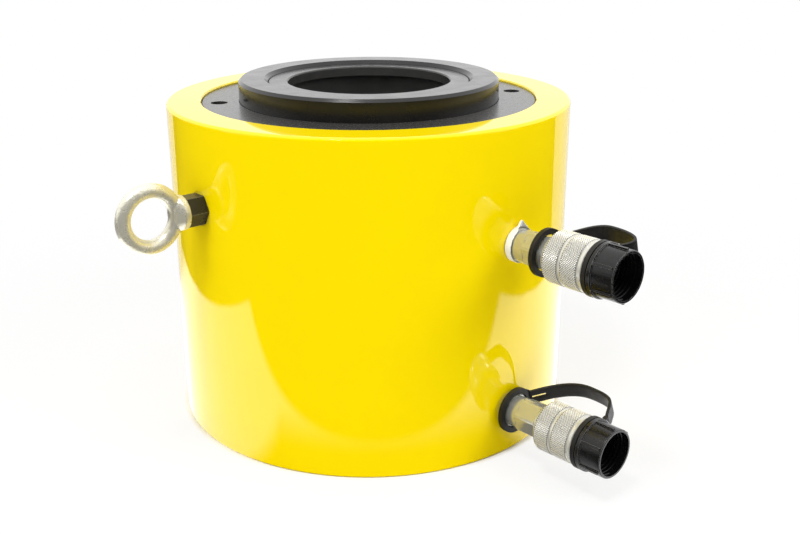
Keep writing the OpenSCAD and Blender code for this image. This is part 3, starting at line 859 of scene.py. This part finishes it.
@dataclass
class RubberStrap:
    """Band of a dust cap's strap, from the ring on the neck to the ring on the cap.

    Attributes:
        port: The coupler's axis.
        turn: Turn of the strap from level towards the top, in degrees.
        rise: How far the arch stands out from the axis.
        crest: Distance of the arch's crest behind the cap's ring.
        curl: Pull of the curl past the cap's ring.
        width: Width of the band.
        thick: Thickness of the band.
        slot: Start and end of the slot, from the neck ring.
        root: Distance of the band's root from the axis.
        tip: Distance of the band's tip from the axis.
        lean: Slope of the band's start, as a share of the rise.
        pull: Pull of the crest towards the cap, as a share of its distance.
        drop: How far the curl's outer end lies under the crest.
        edge: Rounding of the band's edges.
        columns: Faces across the band.
        steps: Steps along each half of the band.
    """

    port: PortAxis
    turn: float
    rise: float
    crest: float
    curl: float
    width: float = 10.0 * MM
    thick: float = 1.8 * MM
    slot: Pair = (1.0 * MM, 6.0 * MM)
    root: float = 13.3 * MM
    tip: float = 18.5 * MM
    lean: float = 0.15
    pull: float = 0.9
    drop: float = 4 * MM
    edge: float = 0.4 * MM
    columns: int = 5
    steps: int = 22

    def build(self, material: Material) -> Piece:
        """Models the band in place of its plain solid.

        Args:
            material: The strap's finish.

        Returns:
            The band.
        """
        neck_top = self.port.span("strap_neck_ring")[1]
        ring_low, ring_high = self.port.span("strap_cap_ring")
        path = self._path(neck_top, (ring_low + ring_high) / 2)
        band = self._ribbon(path)
        self._cut_slot(band, neck_top)
        Bench.modify(band, "SOLIDIFY", thickness=self.thick, offset=0.0)
        Bench.outward(band)
        Bench.modify(
            band, "BEVEL", width=self.edge, segments=3, limit_method="ANGLE", angle_limit=math.radians(50)
        )
        Bench.smooth(band, degrees=40.0)
        Bench.settle(band, self.port.place @ Matrix.Rotation(math.radians(self.turn), 4, "Z"))
        band.data.materials.append(material)
        self.port.node("strap_end")
        self.port.point(neck_top)
        self.port.point(ring_low)
        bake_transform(band)
        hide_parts(self.port.node("strap_band"))
        return band

    def _path(self, low: float, high: float) -> list[Vector]:
        """Middle line of the band: a climb over the collar and a curl back to the cap's ring.

        Args:
            low: Where the band leaves the neck ring.
            high: Height of the cap's ring.

        Returns:
            Points with Y away from the coupler's axis and Z along it.
        """
        root = Vector((0, self.root, low))
        crest = Vector((0, self.rise, high - self.crest))
        lean = self.lean * self.rise
        climb = (
            root,
            root + Vector((0, lean, lean)),
            Vector((0, self.rise, (low + crest.z) / 2)),
            crest,
        )
        curl = (
            crest,
            crest + Vector((0, 0, self.pull * self.crest)),
            Vector((0, self.rise - self.drop, high + self.curl)),
            Vector((0, self.tip, high)),
        )
        points = [self._curve(climb, i / self.steps) for i in range(self.steps + 1)]
        return points + [self._curve(curl, i / self.steps) for i in range(1, self.steps + 1)]

    @staticmethod
    def _curve(points: Sequence[Vector], t: float) -> Vector:
        """Point of a cubic curve.

        Args:
            points: The curve's four control points.
            t: How far along the curve, from 0 to 1.

        Returns:
            The point.
        """
        a, b, c, d = points
        s = 1 - t
        return s**3 * a + 3 * s * s * t * b + 3 * s * t * t * c + t**3 * d

    def _ribbon(self, path: Sequence[Vector]) -> Piece:
        """Extrudes the band's width along its path.

        Args:
            path: Middle line of the band.

        Returns:
            A ribbon without thickness.
        """
        Bench.clear()
        bpy.ops.mesh.primitive_grid_add(
            x_subdivisions=self.columns, y_subdivisions=1, size=self.width, location=(0, 0, 0)
        )
        band = Bench.named(self.port.node("strap"))
        half = Vector((0, self.width / 2, 0))
        with Bench.editing(band):
            Bench.choose(band, lambda place: place.y < 0)
            bpy.ops.transform.translate(value=path[0] + half)
            Bench.choose(band, lambda place: (place - half).yz.length < 10 * Bench.MERGE)
            bpy.ops.transform.translate(value=path[1] - half)
            for here, there in zip(path[1:], path[2:]):
                Bench.extrude(there - here)
        return band

    def _cut_slot(self, band: Piece, low: float) -> None:
        """Opens the slot near the neck ring.

        Args:
            band: The ribbon.
            low: Where the band leaves the neck ring.
        """
        half = self.width / self.columns / 2
        start, stop = (low + s for s in self.slot)

        def in_slot(middle: Vector) -> bool:
            """Says whether a face lies in the slot."""
            return abs(middle.x) < half and middle.y < self.rise - MM and start < middle.z < stop

        with Bench.editing(band):
            Bench.choose(band, in_slot, faces=True)
            bpy.ops.mesh.delete(type="FACE")


@dataclass
class ThreadTape:
    """White sealing tape wound on a port's thread.

    Attributes:
        PEAK: Half widths of the loose end in radii, each with its share of the height.
        SAG: How far the loose end is drawn back, as a share of its height.
        port: The coupler's axis.
        flap: Height of a loose end that stands up, or 0 for none.
        rows: Rows of faces along the tape.
        flat_rows: Rows that stay flat under the loose end.
        points: Points round the tape.
        thick: Thickness of the tape.
        crease: How far the edges wander.
    """

    PEAK: ClassVar[tuple[Pair, ...]] = ((0.36, 0.35), (0.2, 0.4), (0.09, 0.25))
    SAG: ClassVar[float] = 0.1

    port: PortAxis
    flap: float = 0.0
    rows: int = 5
    flat_rows: float = 2.5
    points: int = 72
    thick: float = 0.3 * MM
    crease: float = 0.22 * MM

    def build(self, material: Material) -> Piece:
        """Models the wound tape in place of its plain ring.

        Args:
            material: The tape's finish.

        Returns:
            The tape.
        """
        low, high = self.port.span("thread_tape")
        radius = self.port.radius("thread_tape")
        step = (high - low) / self.rows
        tape = Bench.hoop(self.port.node("tape"), self.points, radius, (0, 0, low))
        with Bench.editing(tape):
            Bench.climb(self.rows, step)
            Bench.choose(tape, lambda place: place.z > low + step / 2)
            bpy.ops.transform.vertex_random(offset=self.crease, uniform=0.4, seed=4)
            if self.flap:
                self._lift_flap(tape, low + self.flat_rows * step, radius)
        Bench.modify(tape, "SOLIDIFY", thickness=self.thick, offset=1.0)
        Bench.modify(tape, "SUBSURF", levels=1, render_levels=1)
        Bench.smooth(tape, degrees=60.0)
        Bench.settle(tape, self.port.place)
        tape.data.materials.append(material)
        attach(tape, "cylinder")
        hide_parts(self.port.node("thread_tape"))
        return tape

    def _lift_flap(self, tape: Piece, low: float, radius: float) -> None:
        """Draws a few points of the tape's front edge up into a peak.

        Args:
            tape: The tape in edit mode.
            low: Points nearer the barrel than this stay.
            radius: Radius of the tape.
        """
        for reach, share in self.PEAK:
            half = reach * radius
            Bench.choose(tape, lambda place: place.z > low and place.x < 0 and abs(place.y) < half)
            bpy.ops.transform.translate(value=(-share * self.flap, 0, -self.SAG * self.flap))


@dataclass
class ForgedEye:
    """Lifting eye, forged in one with its shoulder.

    Attributes:
        centre: Middle of the eye.
        through: Direction through the eye.
        hole_r: Radius of the hole.
        wire: Section of the eye.
        shoulder_r: Radius of the shoulder.
        shoulder: Start and end of the shoulder, from the eye's middle towards the barrel.
        shank_r: Radius of the shank.
        shank_end: End of the shank, from the eye's middle towards the barrel.
        neck: Width of the neck's top as a share of the shoulder's, how far it reaches into
            the wire as a share of that, and how flat it is there.
        grain: Size of the cells that the parts melt together in.
    """

    centre: Vector
    through: Vector
    hole_r: float
    wire: float
    shoulder_r: float = 10.2 * MM
    shoulder: Pair = (17.4 * MM, 21.2 * MM)
    shank_r: float = 4.9 * MM
    shank_end: float = 47.0 * MM
    neck: tuple[float, float, float] = (0.82, 0.3, 0.62)
    grain: float = 0.42 * MM

    @classmethod
    def of_frame(cls) -> "ForgedEye":
        """Reads the eye from its mount.

        Returns:
            The eye.
        """
        mount = next(m for m in frame["record"]["mounts"] if m["name"] == "lifting_eye")
        return cls(
            Vector(mount["pos_m"]),
            Vector(mount["axis"]).normalized(),
            mount["dims"]["r_mm"] * MM,
            mount["dims"]["length_mm"] * MM,
        )

    @property
    def place(self) -> Matrix:
        """Place of the eye, which is modelled about the origin with Z out of the barrel.

        Returns:
            The matrix that takes it there.
        """
        out = Vector((self.centre.x, self.centre.y, 0.0)).normalized()
        turned = Matrix((self.through.cross(out), self.through, out)).transposed()
        return Matrix.Translation(self.centre) @ turned.to_4x4()

    def build(self, material: Material) -> Piece:
        """Models ring, shoulder and shank, and melts them into one forging.

        Args:
            material: The forging's finish.

        Returns:
            The eye.
        """
        ring_r = self.hole_r + self.wire / 2
        Bench.clear()
        bpy.ops.mesh.primitive_torus_add(
            major_radius=ring_r, minor_radius=self.wire / 2, major_segments=96, minor_segments=28,
            rotation=(math.pi / 2, 0, 0),
        )
        eye = Bench.named("lifting_eye")
        Bench.settle(eye, eye.matrix_world.copy())
        start, stop = self.shoulder
        narrow, sunk, flat = self.neck
        wide = self.shoulder_r
        parts = [
            eye,
            self._turned_part(wide, wide, -stop, -start),
            self._turned_part(wide, wide * narrow, -start, -ring_r + self.wire * sunk, flat),
            self._turned_part(self.shank_r, self.shank_r, -self.shank_end, -start),
        ]
        Bench.join(parts)
        Bench.modify(eye, "REMESH", mode="VOXEL", voxel_size=self.grain)
        Bench.modify(eye, "SMOOTH", factor=0.5, iterations=6)
        Bench.pick(eye)
        bpy.ops.object.shade_smooth()
        Bench.settle(eye, self.place)
        eye.data.materials.append(material)
        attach(eye, "cylinder")
        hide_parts("eye_bolt")
        return eye

    @staticmethod
    def _turned_part(low_r: float, high_r: float, low: float, high: float, flat: float = 1.0) -> Piece:
        """A plain cone or cylinder along Z that becomes part of the forging.

        Args:
            low_r: Radius at its lower end.
            high_r: Radius at its upper end.
            low: Lower end.
            high: Upper end.
            flat: How far its upper end is flattened towards the ring's plane.

        Returns:
            The part.
        """
        Bench.clear()
        bpy.ops.mesh.primitive_cone_add(
            vertices=64, radius1=low_r, radius2=high_r, depth=high - low, location=(0, 0, (low + high) / 2)
        )
        part = bpy.context.active_object
        with Bench.editing(part):
            Bench.choose(part, lambda place: place.z > 0)
            bpy.ops.transform.resize(value=(1.0, flat, 1.0), center_override=(0, 0, 0))
        return part


@dataclass
class BrokenEdges:
    """Copy of a CAD solid whose sharp edges are broken, so that they catch the light.

    Attributes:
        WEAR_AND_HIGHLIGHT: Name of the attribute that marks the broken edges, which get a little wear and a
            painted highlight.
        node: The solid.
        body: The body that it moves with.
        slot: Its material slot; not used.
        width: Width of the broken edge.
        sharp: Edges sharper than this are broken, in degrees.
        flat: Edges flatter than this are shaded smooth, in degrees.
        plane: Edges flatter than this are dissolved first, in degrees.
    """

    WEAR_AND_HIGHLIGHT: ClassVar[str] = "wear_and_highlight"

    node: str
    body: str
    slot: str
    width: float = 0.3 * MM
    sharp: float = 32.0
    flat: float = 14.0
    plane: float = 0.4

    def build(self, material: Material) -> Piece:
        """Copies the solid, merges its triangles and bevels its edges.

        Args:
            material: The piece's finish.

        Returns:
            The copy, which stands for the solid.
        """
        piece = bpy.data.objects.new(f"{self.node}_edged", frame["nodes"][self.node].data.copy())
        bpy.context.scene.collection.objects.link(piece)
        piece.data.materials.clear()
        for _ in range(2):
            piece.data.materials.append(material)
        with Bench.editing(piece):
            bpy.ops.mesh.select_all(action="SELECT")
            bpy.ops.mesh.remove_doubles(threshold=2 * Bench.MERGE)
            bpy.ops.mesh.dissolve_limited(angle_limit=math.radians(self.plane))
        Bench.modify(
            piece, "BEVEL", width=self.width, segments=2, limit_method="ANGLE",
            angle_limit=math.radians(self.sharp), material=1,
        )
        self._mark(piece)
        Bench.smooth(piece, self.flat)
        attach(piece, self.body)
        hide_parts(self.node)
        return piece

    def _mark(self, piece: Piece) -> None:
        """Notes which faces are broken edges, and leaves the piece with one material.

        Args:
            piece: The bevelled copy, whose new faces have the second of two materials.
        """
        # The marked faces get the finish's edge colour: a little wear and a painted highlight.
        wear_and_highlight = piece.data.attributes.new(self.WEAR_AND_HIGHLIGHT, "FLOAT", "FACE")
        for face, mark in zip(piece.data.polygons, wear_and_highlight.data):
            mark.value = float(face.material_index)
            face.material_index = 0
        piece.data.materials.pop(index=1)


@dataclass
class CapThread:
    """Moulded thread inside the open tube of a dust cap.

    Attributes:
        port: The coupler's axis.
        wall_r: Inside radius of the cap's tube.
        depth: Start and end of the thread, from the cap's mouth.
        pitch: Pitch of the thread.
        ridge: Height of the thread's ridge.
    """

    port: PortAxis
    wall_r: float = 13.2 * MM
    depth: Pair = (3.0 * MM, 13.0 * MM)
    pitch: float = 2.5 * MM
    ridge: float = 0.4 * MM

    def build(self, material: Material) -> Piece:
        """Sweeps a small ridge round inside the cap.

        Args:
            material: The cap's finish.

        Returns:
            The thread.
        """
        start, stop = self.depth
        place = (self.wall_r, 0, self.port.span("dust_cap")[1] - stop)
        name = self.port.node("cap_thread")
        thread = Bench.hoop(name, points=6, radius=self.ridge, place=place, upright=True)
        Bench.coil(thread, self.pitch, int((stop - start) / self.pitch), steps=48)
        Bench.settle(thread, self.port.place)
        thread.data.materials.append(material)
        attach(thread, self.port.node("cap"))
        return thread


@dataclass
class ValveSpring:
    """Coil spring of a coupler's valve; the real spring shortens as the poppet is pushed in, and this one keeps
    its length.

    Attributes:
        port: The coupler's axis.
        wire: Thickness of the wire.
        turns: Number of coils.
    """

    port: PortAxis
    wire: float = 1.2 * MM
    turns: int = 6

    def build(self, material: Material) -> Piece:
        """Winds the wire in place of the rigid solid.

        Args:
            material: The spring's finish.

        Returns:
            The spring.
        """
        low, high = self.port.span("valve_spring")
        wire_r = self.wire / 2
        place = (self.port.radius("valve_spring") - wire_r, 0, low + wire_r)
        name = self.port.node("spring")
        spring = Bench.hoop(name, points=10, radius=wire_r, place=place, upright=True)
        Bench.coil(spring, (high - low - self.wire) / self.turns, self.turns, steps=32)
        Bench.settle(spring, self.port.place)
        spring.data.materials.append(material)
        self.port.node("valve")
        self.port.point(low + self.wire)
        self.port.point(high - self.wire)
        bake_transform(spring)
        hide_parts(self.port.node("valve_spring"))
        return spring


@dataclass
class Studio:
    """White table, soft lamps and the photograph's camera.

    Attributes:
        SENSOR: Width of the camera's sensor in millimetres.
        AIM: Point that the lamps are turned to.
        eye: Where the camera stands.
        pitch: How far it looks down.
        yaw: How far it looks to the right.
        roll: How far it leans.
        lens: Focal length in millimetres.
        table_size: Width of the floor that the table is part of.
        table_drop: How far it lies under the part's base.
        table_tone: Brightness of its cloth.
        table_edge: Height and slope of the line where the white table ends, towards the camera.
        table_sides: Left and right ends of the white table.
        table_shade: Radius at which the table comes out of the base's shade, and half the blur.
        shade_sides: Slopes of the lines from the middle at which that shade ends on each side.
        shade_blur: Half the blur of those lines.
        back_light: Brightness of the table, in reflections.
        backdrop: Where the backdrop starts behind the part, and its brightness in reflections.
        far_floor: Brightness of the floor from there on, as a share of the table's.
        far_blur: Half the blur between the table and that floor.
        back_left: Height and slope of the line where the backdrop ends on the left.
        back_right: The same on the right.
        room_light: Brightness of the room in front of the table, in reflections.
        soft_light: Brightness of the surroundings as a soft light.
        table_glare: How far the table is overexposed for the camera.
        contact: Radii round the base between which the overexposure sets in.
        fade: Radii between which the table turns into the plain background.
        edge_blur: Softness of the table's edges, in reflections.
        ceiling: How far the bright surroundings reach forward overhead.
        room_edge: Directions along Y between which the dim room turns into the backdrop.
    """

    SENSOR: ClassVar[float] = 36.0
    AIM: ClassVar[Vector] = Vector((0, 0, 0.1))

    eye: Vector
    pitch: float = 0.3463
    yaw: float = 0.0294
    roll: float = -0.0027
    lens: float = 46.49
    table_size: float = 12.0
    table_drop: float = 0.2 * MM
    table_tone: Color = (0.86, 0.86, 0.86)
    table_edge: Pair = (-0.169, 0.03)
    table_sides: Pair = (-0.33, 0.345)
    table_shade: Pair = (0.185, 0.035)
    shade_sides: Pair = (1.39, -0.87)
    shade_blur: float = 0.021
    back_light: float = 2.1
    backdrop: Pair = (0.2, 1.7)
    far_floor: float = 0.42
    far_blur: float = 0.1
    back_left: Pair = (-0.13, -1.18)
    back_right: Pair = (-0.107, 0.7)
    room_light: float = 0.02
    soft_light: float = 0.56
    table_glare: float = 0.8
    contact: Pair = (0.1275, 0.1315)
    fade: Pair = (0.2, 0.55)
    edge_blur: float = 0.008
    ceiling: float = 0.5
    room_edge: Pair = (-0.6, 0.15)

    def build(self) -> None:
        """Sets up the camera, the floor, the world and the lamps."""
        self._camera()
        self._floor()
        self._world()
        self._lamps()
        bpy.context.scene.view_settings.view_transform = "Standard"

    def _camera(self) -> None:
        """Puts the camera at the photograph's viewpoint."""
        data = bpy.data.cameras.new("photo_camera")
        data.sensor_width = self.SENSOR
        data.lens = self.lens
        data.clip_start = 0.01
        camera = bpy.data.objects.new("photo_camera", data)
        bpy.context.scene.collection.objects.link(camera)
        level = math.cos(self.pitch)
        ahead = Vector((math.sin(self.yaw) * level, math.cos(self.yaw) * level, -math.sin(self.pitch)))
        right = Vector((math.cos(self.yaw), -math.sin(self.yaw), 0.0))
        turned = Matrix((right, right.cross(ahead), -ahead)).transposed()
        lean = Matrix.Rotation(self.roll, 4, "Z")
        camera.matrix_world = Matrix.Translation(self.eye) @ turned.to_4x4() @ lean
        bpy.context.scene.camera = camera

    def _floor(self) -> None:
        """Lays the white table, which fades into the background away from the part."""
        Bench.clear()
        bpy.ops.mesh.primitive_grid_add(
            x_subdivisions=8, y_subdivisions=8, size=self.table_size, location=(0, 0, -self.table_drop)
        )
        floor = Bench.named("table")
        material = bpy.data.materials.new("white_table")
        material.use_nodes = True
        nodes = Nodes(material.node_tree)
        nodes.tree.nodes.clear()
        where = nodes.add("TexCoord").outputs["Object"]
        ray = nodes.add("LightPath").outputs
        reach = nodes.length(where)
        fade = nodes.ramp(reach, *self.fade, self.table_glare, 1.0)
        foot = nodes.ramp(reach, *self.contact, 0.0, fade)
        cloth = nodes.add("BsdfDiffuse", {"Color": (*self.table_tone, 1.0)})
        white = nodes.add("Emission", {"Strength": 1.0})
        seen = nodes.mix_shader(nodes.math("MULTIPLY", foot, ray["Is Camera Ray"]), cloth, white)
        mirrored = nodes.add("Emission", {"Strength": self._table_light(nodes, where)})
        both = nodes.mix_shader(ray["Is Glossy Ray"], seen, mirrored)
        nodes.add("OutputMaterial", {"Surface": both.outputs[0]})
        floor.data.materials.append(material)

    def _table_light(self, nodes: Nodes, where: Socket) -> Socket:
        """Brightness of the table in reflections: bright as far as its edges, then dim.

        Args:
            nodes: The floor's nodes.
            where: Coordinates on the floor.

        Returns:
            The socket that gives the brightness.
        """
        split = nodes.add("SeparateXYZ", {0: where}).outputs
        x, y = split["X"], split["Y"]

        def past(line: Pair, top: Socket | float, blur: float | None = None) -> Socket:
            """A soft step at a line on the floor, given by its height and slope."""
            level, slope = line
            return self._step(nodes, nodes.math("MULTIPLY_ADD", x, -slope, y), level, top, blur=blur)

        radius, blur = self.table_shade
        table = self._step(nodes, nodes.length(where), radius, 1.0, blur=blur)
        for slope in self.shade_sides:
            table = nodes.math("MAXIMUM", table, past((0.0, slope), 1.0, self.shade_blur))
        table = past(self.table_edge, table)
        table = self._step(nodes, x, self.table_sides[0], table)
        table = self._step(nodes, x, self.table_sides[1], table, falling=True)
        table = self._step(nodes, y, self.backdrop[0], table, falling=True, blur=self.far_blur)
        behind = self._step(nodes, y, self.backdrop[0], self.far_floor)
        for line in (self.back_left, self.back_right):
            behind = past(line, behind)
        return nodes.math("MULTIPLY", nodes.math("MAXIMUM", table, behind), self.back_light)

    def _step(
        self, nodes: Nodes, value: Socket, edge: float, top: Socket | float,
        falling: bool = False, blur: float | None = None,
    ) -> Socket:
        """A soft step from the room's dim level up to a top value.

        Args:
            nodes: The floor's nodes.
            value: What the step runs along.
            edge: Where the step is.
            top: Height of the step, or the socket that gives it.
            falling: Whether the step goes down instead.
            blur: Half the width of the step, if it isn't that of the table's edges.

        Returns:
            The socket that gives the stepped value.
        """
        half = self.edge_blur if blur is None else blur
        if falling:
            half = -half
        return nodes.ramp(value, edge - half, edge + half, self.room_light, top)

    def _world(self) -> None:
        """Makes a white backdrop; reflections also see the dim room in front of the table."""
        world = bpy.data.worlds.new("white_studio")
        bpy.context.scene.world = world
        world.use_nodes = True
        nodes = Nodes(world.node_tree)
        nodes.tree.nodes.clear()
        ray = nodes.add("LightPath").outputs
        look = nodes.add("SeparateXYZ", {0: nodes.add("TexCoord").outputs["Generated"]}).outputs
        tilt = nodes.math("MULTIPLY_ADD", look["Z"], self.ceiling, look["Y"])
        room = nodes.ramp(tilt, *self.room_edge, self.room_light, self.backdrop[1])
        soft = nodes.add("Background", {"Strength": self.soft_light})
        mirrored = nodes.add("Background", {"Strength": room})
        plain = nodes.add("Background", {"Color": (1.0, 1.0, 1.0, 1.0)})
        lit = nodes.mix_shader(ray["Is Glossy Ray"], soft, mirrored)
        seen = nodes.mix_shader(ray["Is Camera Ray"], lit, plain)
        nodes.add("OutputWorld", {"Surface": seen.outputs[0]})

    def _lamps(self) -> None:
        """Hangs a lamp that shows in bevels, and soft boxes overhead and at the sides."""
        for name, place, size, power, mirrored in (
            ("key_lamp", (-0.28, -0.45, 1.3), 0.25, 6.6, True),
            ("top_box", (0.0, -0.05, 1.5), 0.8, 5.0, False),
            ("left_box", (-0.9, -0.7, 0.9), 0.7, 5.0, False),
            ("right_box", (1.0, -0.5, 0.8), 0.6, 6.8, False),
        ):
            data = bpy.data.lights.new(name, "AREA")
            data.size = size
            data.energy = power
            lamp = bpy.data.objects.new(name, data)
            lamp.location = place
            lamp.visible_glossy = mirrored
            lamp.rotation_euler = (self.AIM - Vector(place)).to_track_quat("-Z", "Y").to_euler()
            bpy.context.scene.collection.objects.link(lamp)


@dataclass
class Dressing:
    """Gives every CAD node its finish.

    Attributes:
        ports: The two couplers' axes.
    """

    ports: dict[Side, PortAxis]

    def __post_init__(self) -> None:
        """Makes the materials that nodes and pieces share."""
        self.shared = {
            "yellow_paint": YELLOW_PAINT.make(),
            "black_steel": BLACK_STEEL.make(),
            "bright_steel": BRIGHT_STEEL.make(),
            "bronze": BRONZE.make(),
            "seal_plastic": SEAL_PLASTIC.make(),
            "rubber": RUBBER.make(),
            "cap_plastic": CAP_PLASTIC.make(),
            "tape": THREAD_TAPE.make(),
        }
        self.own = {
            "eye_bolt": ZINC_FORGING.make(),
            "eye_lock_nut": BLACK_NUT.make(),
            "gland_nut": GLAND_STEEL.make(),
            "saddle": SADDLE_STEEL.make(),
        }
        self.knurl = ZINC_KNURL.make()
        self.zinc = {side: ZINC_STEEL.make(port.place) for side, port in self.ports.items()}
        self.collar = {side: ZINC_COLLAR.make(port.place) for side, port in self.ports.items()}

    def material(self, node: str, slot: str) -> Material:
        """Picks the material for a node.

        Args:
            node: The node's name.
            slot: Its material slot in the record.

        Returns:
            The material.
        """
        if node in self.own:
            return self.own[node]
        if slot == "zinc_steel":
            family = self.collar if node.endswith("_collar") else self.zinc
            return next(family[side] for side in Side if node.startswith(side.value))
        return self.shared[slot]

    def dress(self) -> None:
        """Puts a material on every CAD node."""
        for part in frame["record"]["subparts"]:
            node = frame["nodes"][part["node"]]
            node.data.materials.clear()
            node.data.materials.append(self.material(part["node"], part["material_slot"]))


def main() -> None:
    """Builds the looks in order and reports each piece."""
    logging.basicConfig(level=logging.INFO, format="%(name)s: %(message)s")
    ports = {side: PortAxis.of(side) for side in Side}
    dressing = Dressing(ports)
    dressing.dress()
    shared = dressing.shared
    upper, lower = ports[Side.RETRACT], ports[Side.ADVANCE]
    made = []
    for port in ports.values():
        made += KnurledCollar(port).build(dressing.knurl)
        made.append(CapThread(port).build(shared["cap_plastic"]))
        made.append(ValveSpring(port).build(shared["bright_steel"]))
    straps = (
        RubberStrap(upper, turn=17.0, rise=32.2 * MM, crest=15.0 * MM, curl=12.0 * MM),
        RubberStrap(lower, turn=21.6, rise=33.8 * MM, crest=23.0 * MM, curl=-6.0 * MM),
    )
    made += [strap.build(shared["rubber"]) for strap in straps]
    tapes = (ThreadTape(upper, flap=4.5 * MM), ThreadTape(lower))
    made += [tape.build(shared["tape"]) for tape in tapes]
    made.append(ForgedEye.of_frame().build(dressing.own["eye_bolt"]))
    lock_nut = BrokenEdges("eye_lock_nut", "cylinder", "black_steel", width=0.45 * MM)
    made.append(lock_nut.build(dressing.own["eye_lock_nut"]))
    for side, port in ports.items():
        hexagon = BrokenEdges(port.node("coupler_body"), "cylinder", "zinc_steel")
        made.append(hexagon.build(dressing.zinc[side]))
        cap = BrokenEdges(port.node("dust_cap"), port.node("cap"), "cap_plastic", width=0.5 * MM)
        made.append(cap.build(shared["cap_plastic"]))
    for piece in made:
        LOG.info("%s: %d faces", piece.name, len(piece.data.polygons))
    Studio(eye=Vector((0.0, -0.6601, 0.3245))).build()


if __name__ == "__main__":
    main()
